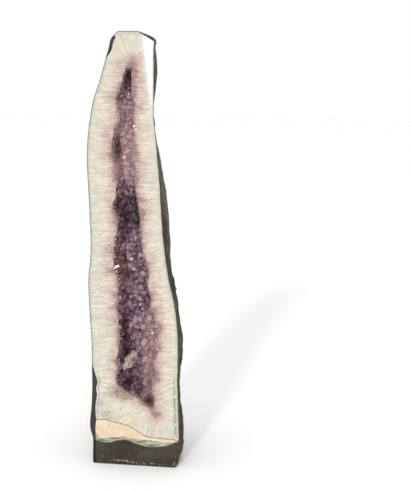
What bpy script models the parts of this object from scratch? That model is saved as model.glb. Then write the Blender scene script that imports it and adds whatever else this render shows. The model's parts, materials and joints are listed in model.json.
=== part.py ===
"""Amethyst geode of the tall cathedral kind, about one metre high.

A long nodule has been sawn flat along its front and across its base. The
sawn front is polished, a hollow opens in it, and a crust of amethyst points
lines the hollow. The stone stands on its base with the polished face
towards -Y and +Z up. The origin is under the middle of the stone.
"""

import math
import random

import bmesh
import bpy
from mathutils import Euler, Matrix, Vector, noise

# Driving dimensions, in metres
HEIGHT = 1.0
FACE_Y = -0.1
GAP = 0.0003
STONE_MIDDLE = (0.00115, 0.00165)
FOOT_HEIGHT = 0.057
FOOT_CORNER = 0.020

# Outline of the sawn face and depth of the stone behind it:
# height, left edge, right edge, depth, how far the right side swells past the face
STATIONS = (
    (0.000, -0.1025, 0.1010, 0.196, 0.000),
    (0.030, -0.1055, 0.1045, 0.199, 0.000),
    (0.080, -0.1070, 0.1055, 0.200, 0.000),
    (0.150, -0.1020, 0.1040, 0.200, 0.000),
    (0.220, -0.0990, 0.1025, 0.197, 0.000),
    (0.300, -0.0995, 0.1020, 0.190, 0.000),
    (0.365, -0.1035, 0.0975, 0.184, 0.000),
    (0.410, -0.1050, 0.0910, 0.183, 0.001),
    (0.455, -0.1050, 0.0790, 0.184, 0.005),
    (0.500, -0.1005, 0.0705, 0.184, 0.010),
    (0.550, -0.0985, 0.0635, 0.176, 0.013),
    (0.610, -0.1005, 0.0595, 0.158, 0.012),
    (0.670, -0.1030, 0.0560, 0.132, 0.008),
    (0.725, -0.1045, 0.0525, 0.116, 0.003),
    (0.770, -0.1020, 0.0490, 0.106, 0.001),
    (0.815, -0.0965, 0.0440, 0.099, 0.001),
    (0.855, -0.0890, 0.0435, 0.098, 0.001),
    (0.895, -0.0750, 0.0435, 0.096, 0.001),
    (0.940, -0.0620, 0.0430, 0.092, 0.001),
    (0.965, -0.0540, 0.0425, 0.084, 0.001),
    (0.985, -0.0480, 0.0400, 0.072, 0.000),
    (1.000, -0.0330, 0.0080, 0.052, 0.000),
)

# Sides of the hollow in the sawn face: height, left edge, right edge
MOUTH = (
    (0.136, 0.046, 0.054),
    (0.152, 0.026, 0.049),
    (0.170, 0.006, 0.047),
    (0.186, -0.024, 0.047),
    (0.200, -0.040, 0.046),
    (0.250, -0.041, 0.051),
    (0.300, -0.038, 0.056),
    (0.350, -0.039, 0.054),
    (0.400, -0.040, 0.040),
    (0.440, -0.039, 0.034),
    (0.470, -0.046, 0.037),
    (0.520, -0.049, 0.022),
    (0.555, -0.044, 0.017),
    (0.590, -0.039, 0.013),
    (0.615, -0.050, 0.014),
    (0.645, -0.041, 0.009),
    (0.700, -0.043, 0.005),
    (0.740, -0.050, 0.001),
    (0.785, -0.047, 0.003),
    (0.812, -0.035, 0.002),
    (0.850, -0.041, 0.003),
    (0.868, -0.037, -0.004),
    (0.890, -0.026, -0.003),
    (0.908, -0.022, -0.003),
    (0.925, -0.018, 0.001),
    (0.933, -0.010, 0.002),
)
MOUTH_JAG = 0.0035
HOLLOW_DEPTH_SHARE = 0.40
RIM_THICKNESS = 0.0035

# Ground facet along the upper right of the face
FACET_TOP = Vector((0.015, FACE_Y, 0.985))
FACET_FOOT = Vector((0.038, FACE_Y, 0.815))
FACET_ANGLE = math.radians(12)

# Relief of the skin
LUMP_SIZE = 0.105
LUMP_HEIGHT = 0.0090
KNOB_SIZE = 0.045
KNOB_HEIGHT = 0.0045
WRINKLE_SIZE = 0.026
WRINKLE_HEIGHT = 0.0030
CREASE_DEPTH = 0.0065
CREASE_WIDTH = 0.011
LEDGE_HEIGHTS = (0.868, 0.902)
LEDGE_LENGTH = 0.034
LEDGE_DEPTH = 0.006

# How finely the solids are cut
COLUMNS_BEHIND = 32
COLUMNS_IN_FRONT = 6
RINGS = 42
MOUTH_RING = 0.016
MOUTH_COLUMNS_BEHIND = 7
MOUTH_COLUMNS_IN_FRONT = 4
SAW_REACH = 0.02

# Plain rounded bar that the points are set on before it is bent into the hollow
BAR_HALF_WIDTH = 0.034
BAR_HALF_DEPTH = 0.060
BAR_HEIGHT = 0.790
BAR_SKEW = (0.42, 0.27, 0.61)
CRYSTAL_SIZE = 0.0160
CRYSTAL_LENGTH = (0.40, 1.05)
CRYSTAL_SHIFT = 0.24
CRYSTAL_LEAN = 0.20
SEED = 7


def clear_scene():
    for obj in list(bpy.data.objects):
        bpy.data.objects.remove(obj, do_unlink=True)


def collection(name):
    made = bpy.data.collections.new(name)
    bpy.context.scene.collection.children.link(made)
    return made


def material(name, colour, roughness):
    made = bpy.data.materials.new(name)
    made.use_nodes = True
    shader = made.node_tree.nodes["Principled BSDF"]
    shader.inputs["Base Color"].default_value = (*colour, 1.0)
    shader.inputs["Roughness"].default_value = roughness
    shader.inputs["Metallic"].default_value = 0.0
    made.diffuse_color = (*colour, 1.0)
    return made


def smooth_step(value):
    value = min(max(value, 0.0), 1.0)
    return value * value * (3.0 - 2.0 * value)


def between(table, height):
    """The row of a table at a height, on a smooth curve through its rows."""
    rows = len(table)
    below = 0
    while below < rows - 2 and table[below + 1][0] < height:
        below += 1
    above = below + 1
    span = table[above][0] - table[below][0]
    part = min(max((height - table[below][0]) / span, 0.0), 1.0)
    found = []
    for item in range(1, len(table[0])):
        start = table[below][item]
        end = table[above][item]
        before = table[max(below - 1, 0)]
        after = table[min(above + 1, rows - 1)]
        slope_in = (end - before[item]) / (table[above][0] - before[0]) * span
        slope_out = (after[item] - start) / (after[0] - table[below][0]) * span
        square = part * part
        cube = square * part
        found.append(
            (2 * cube - 3 * square + 1) * start
            + (cube - 2 * square + part) * slope_in
            + (3 * square - 2 * cube) * end
            + (cube - square) * slope_out
        )
    return found


def crease_back(height):
    """How far behind the face the crease of the right side runs at a height."""
    rise = min(max((0.70 - height) / 0.26, 0.0), 1.0)
    return 0.005 + 0.088 * rise ** 0.75


def relief(point, height):
    """How far the skin stands out or in at a point of the plain nodule."""
    back = point.y - FACE_Y
    right = smooth_step(point.x / 0.02)
    lumps = noise.noise(point / LUMP_SIZE + Vector((2.3, 0.4, 1.9))) * LUMP_HEIGHT
    knobs = noise.noise(point / KNOB_SIZE + Vector((9.1, 3.7, 5.2))) * KNOB_HEIGHT
    wrinkles = abs(noise.noise(point / WRINKLE_SIZE + Vector((4.8, 7.1, 0.6)))) * WRINKLE_HEIGHT
    wrinkled = smooth_step((crease_back(height) - back) / 0.03 + 0.5) * right
    in_reach = smooth_step((height - 0.38) / 0.06) * smooth_step((0.72 - height) / 0.06)
    off_crease = (back - crease_back(height)) / CREASE_WIDTH
    crease = -CREASE_DEPTH * math.exp(-(off_crease ** 2)) * right * in_reach
    low, high = LEDGE_HEIGHTS
    under_ledge = smooth_step((height - low) / 0.02) * smooth_step((high - height) / 0.008)
    ledge = -LEDGE_DEPTH * under_ledge * smooth_step((LEDGE_LENGTH - back) / 0.012) * right
    settled = smooth_step(height / 0.03)
    near_face = smooth_step(back / 0.025)
    swell = (lumps + knobs + wrinkles * (0.3 + 0.7 * wrinkled)) * (0.15 + 0.85 * near_face)
    return (swell + crease * near_face + ledge) * settled


def skin_point(turn, height):
    """A point of the skin: turn 0 is the right corner of the face, 1 the left one, below 0 in front."""
    left, right, depth, swell = between(STATIONS, height)
    corner = FOOT_CORNER * (1.0 - smooth_step((height - FOOT_HEIGHT) / 0.05))
    angle = turn * math.pi
    middle = (left + right) / 2
    half = (right - left) / 2
    squareness = 2.0 / 2.25
    across = math.copysign(abs(math.cos(angle)) ** squareness, math.cos(angle))
    inward = abs(math.sin(angle)) ** squareness
    if turn < 0.0 or turn > 1.0:
        across = math.copysign(abs(math.cos(angle)) ** 0.45, math.cos(angle))
        inward = abs(math.sin(angle)) ** 0.45
        reach = max(corner * 1.25, 0.03)
        return Vector((middle + half * across, FACE_Y + corner - reach * inward, height))
    bulge = swell * math.exp(-((turn - 0.2) / 0.16) ** 2)
    x = middle + half * across + bulge
    y = FACE_Y + corner + (depth - corner) * inward
    point = Vector((x, y, height))
    outward = Vector((across / half, inward / depth, 0.0)).normalized()
    return point + outward * relief(point, height)


def ringed_cylinder(columns, rings):
    """A cylinder of unit radius and height, cut into rings."""
    mesh = bmesh.new()
    bmesh.ops.create_cone(
        mesh, cap_ends=True, segments=columns, radius1=1.0, radius2=1.0, depth=1.0
    )
    for ring in range(1, rings):
        level = Vector((0.0, 0.0, ring / rings - 0.5))
        geometry = mesh.verts[:] + mesh.edges[:] + mesh.faces[:]
        bmesh.ops.bisect_plane(mesh, geom=geometry, plane_co=level, plane_no=(0.0, 0.0, 1.0))
    return mesh


def turn_of(vertex, behind, in_front):
    """How far round from the right corner of the face a cylinder's point is: 0 to 1 behind the face."""
    columns = behind + in_front
    column = round((math.atan2(vertex.co.y, vertex.co.x) / math.tau) % 1.0 * columns) % columns
    if column < behind:
        return (column + 0.5) / behind
    return 1.0 + (column - behind + 0.5) / in_front


def closed(mesh):
    """The same triangles for every solid with these rings, all facing out."""
    bmesh.ops.triangulate(mesh, faces=mesh.faces[:], quad_method="FIXED")
    bmesh.ops.recalc_face_normals(mesh, faces=mesh.faces[:])
    return mesh


def make_nodule():
    """The whole nodule: a plain ringed cylinder with each point moved out to the skin."""
    mesh = ringed_cylinder(COLUMNS_BEHIND + COLUMNS_IN_FRONT, RINGS)
    for vertex in mesh.verts:
        turn = turn_of(vertex, COLUMNS_BEHIND, COLUMNS_IN_FRONT)
        height = vertex.co.z + 0.5
        sway = noise.noise(Vector((turn * 9.0, height * 22.0, 4.4))) * math.sin(height * math.pi)
        vertex.co = skin_point(turn, (height + 0.012 * sway) * HEIGHT)
    return closed(mesh)


def mouth_sides(height, margin):
    """The two sides of the hollow in the face at a height, drawn in by a margin."""
    left, right = between(MOUTH, height)
    step = height / MOUTH_RING * 0.83
    left += MOUTH_JAG * noise.noise(Vector((step, 1.5, 0.0)))
    right += MOUTH_JAG * noise.noise(Vector((step, 7.5, 0.0)))
    middle = (left + right) / 2
    half = max((right - left) / 2, 0.0035)
    return middle - half + margin, middle + half - margin


def hollow_depth(height, margin):
    """How deep the hollow is behind the face at a height: it runs out at both ends."""
    lowest = MOUTH[0][0]
    highest = MOUTH[-1][0]
    foot = smooth_step((height - lowest + 0.006) / 0.075)
    head = smooth_step((highest + 0.006 - height) / 0.040)
    depth = between(STATIONS, height)[2] * HOLLOW_DEPTH_SHARE
    return depth * (0.18 + 0.82 * foot) * (0.35 + 0.65 * head) - margin


def make_mouth(margin):
    """The hollow before its crystals grew, as a solid that runs out past the face."""
    lowest = MOUTH[0][0] + margin
    highest = MOUTH[-1][0] - margin
    rings = round((highest - lowest) / MOUTH_RING)
    mesh = ringed_cylinder(MOUTH_COLUMNS_BEHIND + MOUTH_COLUMNS_IN_FRONT, rings)
    for vertex in mesh.verts:
        turn = turn_of(vertex, MOUTH_COLUMNS_BEHIND, MOUTH_COLUMNS_IN_FRONT)
        height = lowest + (vertex.co.z + 0.5) * (highest - lowest)
        left, right = mouth_sides(height, margin)
        angle = turn * math.pi
        across = math.copysign(abs(math.cos(angle)) ** 0.7, math.cos(angle))
        x = (left + right) / 2 + (right - left) / 2 * across
        if turn > 1.0:
            y = FACE_Y - SAW_REACH * abs(math.sin(angle)) ** 0.3
        else:
            y = FACE_Y + hollow_depth(height, margin) * abs(math.sin(angle)) ** 0.7
        vertex.co = Vector((x, y, height))
    return closed(mesh)


def make_void():
    """The open space among the points: a rounded bar, each of whose cells dips in to one six-sided tip."""
    bar = bmesh.new()
    bmesh.ops.create_uvsphere(bar, u_segments=32, v_segments=24, radius=1.0)
    for vertex in bar.verts:
        stretched = [math.copysign(abs(part) ** 0.62, part) for part in vertex.co]
        vertex.co = Vector(
            (
                stretched[0] * BAR_HALF_WIDTH,
                stretched[1] * BAR_HALF_DEPTH,
                stretched[2] * BAR_HEIGHT / 2,
            )
        )
    skew = Euler(BAR_SKEW).to_matrix()
    bmesh.ops.rotate(bar, verts=bar.verts[:], cent=(0.0, 0.0, 0.0), matrix=skew)
    plain = helper("hollow_bar", bar)
    remesh = plain.modifiers.new("even_cells", "REMESH")
    remesh.mode = "VOXEL"
    remesh.voxel_size = CRYSTAL_SIZE
    bpy.context.view_layer.update()
    even = plain.evaluated_get(bpy.context.evaluated_depsgraph_get())
    mesh = bmesh.new()
    mesh.from_mesh(even.to_mesh())
    even.to_mesh_clear()
    bmesh.ops.rotate(mesh, verts=mesh.verts[:], cent=(0.0, 0.0, 0.0), matrix=skew.inverted())
    bmesh.ops.triangulate(mesh, faces=mesh.faces[:])
    mesh.normal_update()
    draw = random.Random(SEED)
    for vertex in mesh.verts:
        nudge = Vector([draw.uniform(-1.0, 1.0) for _ in range(3)])
        nudge -= vertex.normal * nudge.dot(vertex.normal)
        vertex.co += nudge * CRYSTAL_SIZE * CRYSTAL_SHIFT
    mesh.normal_update()
    tips = mesh.verts[:]
    cell_edges = mesh.edges[:]
    bmesh.ops.poke(mesh, faces=mesh.faces[:])
    bmesh.ops.rotate_edges(mesh, edges=cell_edges, use_ccw=False)
    for tip in tips:
        length = draw.uniform(*CRYSTAL_LENGTH) * CRYSTAL_SIZE
        lean = Vector([draw.uniform(-1.0, 1.0) for _ in range(3)]) * CRYSTAL_LEAN
        tip.co -= (tip.normal + lean).normalized() * length
    lowest = MOUTH[0][0] + RIM_THICKNESS
    highest = MOUTH[-1][0] - RIM_THICKNESS
    for vertex in mesh.verts:
        share = min(max(vertex.co.z / BAR_HEIGHT + 0.5, 0.0), 1.0)
        height = lowest + share * (highest - lowest)
        left, right = mouth_sides(height, 0.0)
        rim = min(RIM_THICKNESS, (right - left) / 5)
        half = (right - left) / 2 - rim
        x = (left + right) / 2 + vertex.co.x / BAR_HALF_WIDTH * half
        y = FACE_Y + vertex.co.y / BAR_HALF_DEPTH * (hollow_depth(height, 0.0) - RIM_THICKNESS)
        vertex.co = Vector((x, y, height))
    return mesh


def object_of(name, mesh, home):
    """An object that holds a mesh, in a collection."""
    data = bpy.data.meshes.new(name)
    mesh.to_mesh(data)
    mesh.free()
    made = bpy.data.objects.new(name, data)
    home.objects.link(made)
    return made


def helper(name, mesh):
    made = object_of(name, mesh, helpers)
    made.hide_render = True
    made.display_type = "WIRE"
    return made


def cut(target, tool, name):
    boolean = target.modifiers.new(name, "BOOLEAN")
    boolean.operation = "DIFFERENCE"
    boolean.solver = "EXACT"
    boolean.use_self = tool.name == "void"
    boolean.object = tool


def make_block(size, matrix):
    mesh = bmesh.new()
    bmesh.ops.create_cube(mesh, size=1.0, matrix=matrix @ Matrix.Diagonal((*size, 1.0)))
    return mesh


def make_face_saw():
    """A block whose back side is the plane of the sawn face."""
    size = (0.6, 0.2, 1.4)
    place = Matrix.Translation((0.0, FACE_Y - size[1] / 2, HEIGHT / 2))
    return make_block(size, place)


def make_facet_grinder():
    """A block whose underside is the plane of the facet ground along the upper right edge."""
    along = (FACET_FOOT - FACET_TOP).normalized()
    rightward = Vector((-along.z, 0.0, along.x))
    out = rightward * math.sin(FACET_ANGLE) + Vector((0.0, -1.0, 0.0)) * math.cos(FACET_ANGLE)
    side = out.cross(along)
    turn = Matrix((along, side, out)).transposed().to_4x4()
    size = (0.7, 0.2, 0.05)
    middle = FACET_TOP + along * 0.12 + out * size[2] / 2
    return make_block(size, Matrix.Translation(middle) @ turn)


clear_scene()
parts = collection("amethyst_geode")
helpers = collection("cutters")
skin = material("painted_skin", (0.20, 0.18, 0.13), 0.45)
amethyst = material("amethyst", (0.24, 0.12, 0.26), 0.12)

face_saw = helper("face_saw", make_face_saw())
facet_grinder = helper("facet_grinder", make_facet_grinder())
mouth = helper("mouth", make_mouth(0.0))
void = helper("void", make_void())

body = object_of("geode_body", make_nodule(), parts)
body.data.materials.append(skin)
cut(body, face_saw, "sawn_face")
cut(body, facet_grinder, "ground_facet")
cut(body, mouth, "hollow")

crust = object_of("amethyst_crust", make_mouth(GAP), parts)
crust.data.materials.append(amethyst)
cut(crust, face_saw, "sawn_face")
cut(crust, void, "points")

# Everything moves together, so that the origin is under the middle of the stone.
for obj in list(parts.objects) + list(helpers.objects):
    obj.location = (-STONE_MIDDLE[0], -STONE_MIDDLE[1], 0.0)
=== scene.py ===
# %% [markdown]
# # A cathedral geode of amethyst
# This lesson dresses one tall geode. A long nodule of rock has been sawn flat down its
# front, the sawn face has been polished, and the hollow behind it is lined with amethyst.
# The frame gives the size and place of two solids, the stone and its crust of points.
# Here each of them gets a fine mesh of its own form and a finish built from nodes.

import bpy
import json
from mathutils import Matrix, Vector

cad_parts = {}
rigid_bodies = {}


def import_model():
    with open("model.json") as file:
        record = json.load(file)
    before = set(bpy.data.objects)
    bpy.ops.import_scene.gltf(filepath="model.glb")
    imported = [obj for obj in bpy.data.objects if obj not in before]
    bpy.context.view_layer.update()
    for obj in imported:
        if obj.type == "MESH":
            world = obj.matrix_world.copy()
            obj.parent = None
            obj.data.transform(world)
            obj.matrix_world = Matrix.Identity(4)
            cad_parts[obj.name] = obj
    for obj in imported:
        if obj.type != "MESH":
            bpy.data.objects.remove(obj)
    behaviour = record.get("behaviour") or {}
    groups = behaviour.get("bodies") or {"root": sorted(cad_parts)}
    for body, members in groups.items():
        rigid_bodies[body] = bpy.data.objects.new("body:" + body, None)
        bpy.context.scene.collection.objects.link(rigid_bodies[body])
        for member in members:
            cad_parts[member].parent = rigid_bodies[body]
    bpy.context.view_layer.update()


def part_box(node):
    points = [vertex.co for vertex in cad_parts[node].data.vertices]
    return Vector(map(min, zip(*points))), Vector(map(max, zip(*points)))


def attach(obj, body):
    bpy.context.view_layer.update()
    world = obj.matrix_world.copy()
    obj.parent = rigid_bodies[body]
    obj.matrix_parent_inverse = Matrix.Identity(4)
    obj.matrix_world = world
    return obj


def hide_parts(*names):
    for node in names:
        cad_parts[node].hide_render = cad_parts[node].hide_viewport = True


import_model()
stone_low, stone_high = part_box("geode_body")
print("stone", [round(side, 3) for side in stone_high - stone_low])

# %% [markdown]
# ## Tools and main sizes
# bmesh makes the small solids, numpy measures many distances at once, and a KD tree finds
# the nearest of many places. All sizes are in metres. They are measured from a point on the
# base that is a millimetre or two off the middle of the whole stone.

# %% Tools and main sizes
import json
import math
import random

import bmesh
import bpy
import numpy as np
from mathutils import Euler, Matrix, Vector, noise
from mathutils.kdtree import KDTree

HEIGHT = 1.0
STONE_MIDDLE = Vector((0.00115, 0.00165, 0.0))
FACE_Y = stone_low.y + STONE_MIDDLE.y
print("face plane at y", round(FACE_Y, 4))

# %% [markdown]
# ## The outline in rows
# The stone is described by a few rows of real sizes from its base to its top, and so is the
# mouth of its hollow. Blender's own curves could be drawn by hand through them, but plain
# rows keep each size readable, and the fine mesh then has the same form as the solid.

# %% Outline
# Height, left edge of the face, right edge, depth of the stone, swell past the right edge
STATIONS = (
    (0.000, -0.1025, 0.1010, 0.196, 0.000),
    (0.030, -0.1055, 0.1045, 0.199, 0.000),
    (0.080, -0.1070, 0.1055, 0.200, 0.000),
    (0.150, -0.1020, 0.1040, 0.200, 0.000),
    (0.220, -0.0990, 0.1025, 0.197, 0.000),
    (0.300, -0.0995, 0.1020, 0.190, 0.000),
    (0.365, -0.1035, 0.0975, 0.184, 0.000),
    (0.410, -0.1050, 0.0910, 0.183, 0.001),
    (0.455, -0.1050, 0.0790, 0.184, 0.005),
    (0.500, -0.1005, 0.0705, 0.184, 0.010),
    (0.550, -0.0985, 0.0635, 0.176, 0.013),
    (0.610, -0.1005, 0.0595, 0.158, 0.012),
    (0.670, -0.1030, 0.0560, 0.132, 0.008),
    (0.725, -0.1045, 0.0525, 0.116, 0.003),
    (0.770, -0.1020, 0.0490, 0.106, 0.001),
    (0.815, -0.0965, 0.0440, 0.099, 0.001),
    (0.855, -0.0890, 0.0435, 0.098, 0.001),
    (0.895, -0.0750, 0.0435, 0.096, 0.001),
    (0.940, -0.0620, 0.0430, 0.092, 0.001),
    (0.965, -0.0540, 0.0425, 0.084, 0.001),
    (0.985, -0.0480, 0.0400, 0.072, 0.000),
    (1.000, -0.0330, 0.0080, 0.052, 0.000),
)

# Height, left side and right side of the hollow's mouth in the face
MOUTH = (
    (0.136, 0.046, 0.054),
    (0.152, 0.026, 0.049),
    (0.170, 0.006, 0.047),
    (0.186, -0.024, 0.047),
    (0.200, -0.040, 0.046),
    (0.250, -0.041, 0.051),
    (0.300, -0.038, 0.056),
    (0.350, -0.039, 0.054),
    (0.400, -0.040, 0.040),
    (0.440, -0.039, 0.034),
    (0.470, -0.046, 0.037),
    (0.520, -0.049, 0.022),
    (0.555, -0.044, 0.017),
    (0.590, -0.039, 0.013),
    (0.615, -0.050, 0.014),
    (0.645, -0.041, 0.009),
    (0.700, -0.043, 0.005),
    (0.740, -0.050, 0.001),
    (0.785, -0.047, 0.003),
    (0.812, -0.035, 0.002),
    (0.850, -0.041, 0.003),
    (0.868, -0.037, -0.004),
    (0.890, -0.026, -0.003),
    (0.908, -0.022, -0.003),
    (0.925, -0.018, 0.001),
    (0.933, -0.010, 0.002),
)
MOUTH_LOW = MOUTH[0][0]
MOUTH_HIGH = MOUTH[-1][0]
print(len(STATIONS), "rows for the stone and", len(MOUTH), "for the mouth")

# %% [markdown]
# ## Smooth steps and smooth curves
# Stone has few sudden changes, so nearly every size here is eased from one value to the
# next. One function eases a share between 0 and 1, and the other reads a table of rows as a
# smooth curve, with the slope at each row taken from the rows on both sides of it.

# %% Smooth curves
def smooth_step(value):
    """0 up to 0, 1 from 1 on, and an eased share between them."""
    value = min(max(value, 0.0), 1.0)
    return value * value * (3.0 - 2.0 * value)


def between(table, height):
    """The row of a table at a height, on a smooth curve through its rows."""
    rows = len(table)
    below = 0
    while below < rows - 2 and table[below + 1][0] < height:
        below += 1
    above = below + 1
    span = table[above][0] - table[below][0]
    part = min(max((height - table[below][0]) / span, 0.0), 1.0)
    before = table[max(below - 1, 0)]
    after = table[min(above + 1, rows - 1)]
    found = []
    for item in range(1, len(table[0])):
        start = table[below][item]
        end = table[above][item]
        slope_in = (end - before[item]) / (table[above][0] - before[0]) * span
        slope_out = (after[item] - start) / (after[0] - table[below][0]) * span
        square = part * part
        cube = square * part
        found.append(
            (2 * cube - 3 * square + 1) * start
            + (cube - 2 * square + part) * slope_in
            + (3 * square - 2 * cube) * end
            + (cube - square) * slope_out
        )
    return found


print("face at mid height", [round(edge, 3) for edge in between(STATIONS, 0.5)[:2]])

# %% [markdown]
# ## The camera
# The photo is taken from about two metres away and just under the stone's top, a little to
# its right, so the base's front edge runs downhill to the right. A long lens and a small
# roll match that. Aiming the camera beside the stone puts it left of centre, and no shift
# is needed.

# %% Camera
PHOTO_WIDTH = 410
PHOTO_HEIGHT = 490
FOCAL_PIXELS = 874.0
CAMERA_AZIMUTH = math.radians(10.0)
CAMERA_DISTANCE = 2.0184
CAMERA_HEIGHT = 0.95
CAMERA_TARGET = Vector((0.1498, 0.0, 0.5183))
CAMERA_ROLL = math.radians(0.874)


def make_camera():
    place = Vector(
        (
            math.sin(CAMERA_AZIMUTH) * CAMERA_DISTANCE,
            -math.cos(CAMERA_AZIMUTH) * CAMERA_DISTANCE,
            CAMERA_HEIGHT,
        )
    )
    aim = (CAMERA_TARGET - place).to_track_quat("-Z", "Y")
    data = bpy.data.cameras.new("photo_camera")
    data.sensor_width = 36.0
    data.lens = FOCAL_PIXELS / PHOTO_HEIGHT * data.sensor_width
    camera = bpy.data.objects.new("photo_camera", data)
    camera.matrix_world = (
        Matrix.Translation(place - STONE_MIDDLE)
        @ aim.to_matrix().to_4x4()
        @ Matrix.Rotation(CAMERA_ROLL, 4, "Z")
    )
    bpy.context.scene.collection.objects.link(camera)
    bpy.context.scene.camera = camera
    return camera


camera = make_camera()
print("lens", round(camera.data.lens, 1), "mm")

# %% [markdown]
# ## The skin
# The outside of a nodule is lumpy: it grew against the walls of a gas bubble in lava.
# Sculpting could do it, but noise added to a simple section repeats exactly on each run.
# The large lumps are the solid's own. The fine wrinkles and grains are added here.

# %% Skin of the stone
LUMP_SIZE = 0.105
LUMP_HEIGHT = 0.0090
KNOB_SIZE = 0.045
KNOB_HEIGHT = 0.0045
WRINKLE_SIZE = 0.026
WRINKLE_HEIGHT = 0.0030
CREASE_DEPTH = 0.0065
CREASE_WIDTH = 0.011
CREASE_LOW, CREASE_HIGH = 0.38, 0.72
CREASE_FADE = 0.06
LEDGE_HEIGHTS = (0.868, 0.902)
LEDGE_LENGTH = 0.034
LEDGE_DEPTH = 0.006
PEBBLE_SIZE = 0.0125
PEBBLE_HEIGHT = 0.0013
GRAIN_SIZE = 0.0062
GRAIN_HEIGHT = 0.0005
CALM_AT_BASE = 0.03
CALM_AT_FACE = 0.025
SIDE_BLEND = 0.02


def crease_back(height):
    """How far behind the face the crease of the right side runs at a height."""
    rise = min(max((0.70 - height) / 0.26, 0.0), 1.0)
    return 0.005 + 0.088 * rise ** 0.75


def wrinkled_share(point, height):
    """1 where the right side is pebbly, near the face, and 0 on the smooth back."""
    back = point.y - FACE_Y
    return smooth_step((crease_back(height) - back) / 0.03 + 0.5) * smooth_step(point.x / SIDE_BLEND)


def relief(point, height):
    """How far the skin stands out or in at a point of the plain nodule."""
    back = point.y - FACE_Y
    right = smooth_step(point.x / SIDE_BLEND)
    lumps = noise.noise(point / LUMP_SIZE + Vector((2.3, 0.4, 1.9))) * LUMP_HEIGHT
    knobs = noise.noise(point / KNOB_SIZE + Vector((9.1, 3.7, 5.2))) * KNOB_HEIGHT
    wrinkles = abs(noise.noise(point / WRINKLE_SIZE + Vector((4.8, 7.1, 0.6)))) * WRINKLE_HEIGHT
    wrinkled = wrinkled_share(point, height)
    in_reach = smooth_step((height - CREASE_LOW) / CREASE_FADE)
    in_reach *= smooth_step((CREASE_HIGH - height) / CREASE_FADE)
    off_crease = (back - crease_back(height)) / CREASE_WIDTH
    crease = -CREASE_DEPTH * math.exp(-(off_crease ** 2)) * right * in_reach
    low, high = LEDGE_HEIGHTS
    under_ledge = smooth_step((height - low) / 0.02) * smooth_step((high - height) / 0.008)
    ledge = -LEDGE_DEPTH * under_ledge * smooth_step((LEDGE_LENGTH - back) / 0.012) * right
    settled = smooth_step(height / CALM_AT_BASE)
    off_face = smooth_step(back / CALM_AT_FACE)
    pebbles = noise.noise(point / PEBBLE_SIZE + Vector((1.7, 8.2, 3.3))) * PEBBLE_HEIGHT
    grains = noise.noise(point / GRAIN_SIZE) * GRAIN_HEIGHT
    fine = (pebbles * (0.45 + 1.1 * wrinkled) + grains) * (0.1 + 0.9 * off_face)
    swell = (lumps + knobs + wrinkles * (0.3 + 0.7 * wrinkled)) * (0.15 + 0.85 * off_face)
    return (swell + (crease + ledge) * off_face + fine) * settled


print("crease at mid height", round(crease_back(0.5), 3), "m behind the face")

# %% [markdown]
# ## A section of the stone
# At each height the skin is a half oval, a little squarer than an ellipse, from the right
# corner of the face round the back to the left one. Its lower right side swells past the
# face. A sculpted surface would look as good, but a formula gives a point wherever the
# mesh, the marks or a measure need one.

# %% Section of the skin
FOOT_HEIGHT = 0.057
FOOT_CORNER = 0.020
SQUARENESS = 2.0 / 2.25
SWELL_TURN = 0.2
SWELL_SPREAD = 0.16


def foot_corner(height):
    """How far the front corners are rounded back: much at the foot, a worn edge above it."""
    return FOOT_CORNER * (1.0 - smooth_step((height - FOOT_HEIGHT) / 0.05))


def skin_point(turn, height):
    """A point of the skin: turn 0 is the right corner of the face and 1 the left one."""
    left, right, depth, swell = between(STATIONS, height)
    corner = foot_corner(height)
    angle = turn * math.pi
    middle = (left + right) / 2
    half = (right - left) / 2
    across = math.copysign(abs(math.cos(angle)) ** SQUARENESS, math.cos(angle))
    inward = abs(math.sin(angle)) ** SQUARENESS
    bulge = swell * math.exp(-(((turn - SWELL_TURN) / SWELL_SPREAD) ** 2))
    x = middle + half * across + bulge
    y = FACE_Y + corner + (depth - corner) * inward
    point = Vector((x, y, height))
    outward = Vector((across / half, inward / depth, 0.0)).normalized()
    return point + outward * relief(point, height)


print("skin at mid height, right corner", [round(part, 4) for part in skin_point(0.0, 0.5)])

# %% [markdown]
# ## The hollow
# The mouth of the hollow is ragged, because each crystal that the saw met left its own
# notch in it. Its sides run back into the stone like the hull of a boat and close at both
# ends. The same function serves the stone and the crust, so they always fit each other.

# %% Form of the hollow
MOUTH_JAG = 0.0035
MOUTH_RING = 0.016
JAG_PACE = 0.83
LEAST_HALF_MOUTH = 0.0035
HOLLOW_DEPTH_SHARE = 0.40
HOLLOW_ROUNDNESS = 0.7


def mouth_sides(height):
    """The left and right side of the hollow's mouth at a height."""
    left, right = between(MOUTH, height)
    step = height / MOUTH_RING * JAG_PACE
    left += MOUTH_JAG * noise.noise(Vector((step, 1.5, 0.0)))
    right += MOUTH_JAG * noise.noise(Vector((step, 7.5, 0.0)))
    middle = (left + right) / 2
    half = max((right - left) / 2, LEAST_HALF_MOUTH)
    return middle - half, middle + half


def hollow_depth(height):
    """How deep the hollow is behind the face: it tapers to its foot and to its head."""
    foot = smooth_step((height - MOUTH_LOW + 0.006) / 0.075)
    head = smooth_step((MOUTH_HIGH + 0.006 - height) / 0.040)
    depth = between(STATIONS, height)[2] * HOLLOW_DEPTH_SHARE
    return depth * (0.18 + 0.82 * foot) * (0.35 + 0.65 * head)


print("hollow", round(MOUTH_HIGH - MOUTH_LOW, 3), "m tall")

# %% [markdown]
# ## One closed mesh for the stone
# A Boolean would leave long thin triangles on the polished face. Instead each row of the
# mesh is one closed loop: round the back, along the face, into the hollow, out again and
# on to the other corner. The rows are then joined like the hoops of a basket, with more
# rows and columns than the eye can count from a step away.

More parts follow.
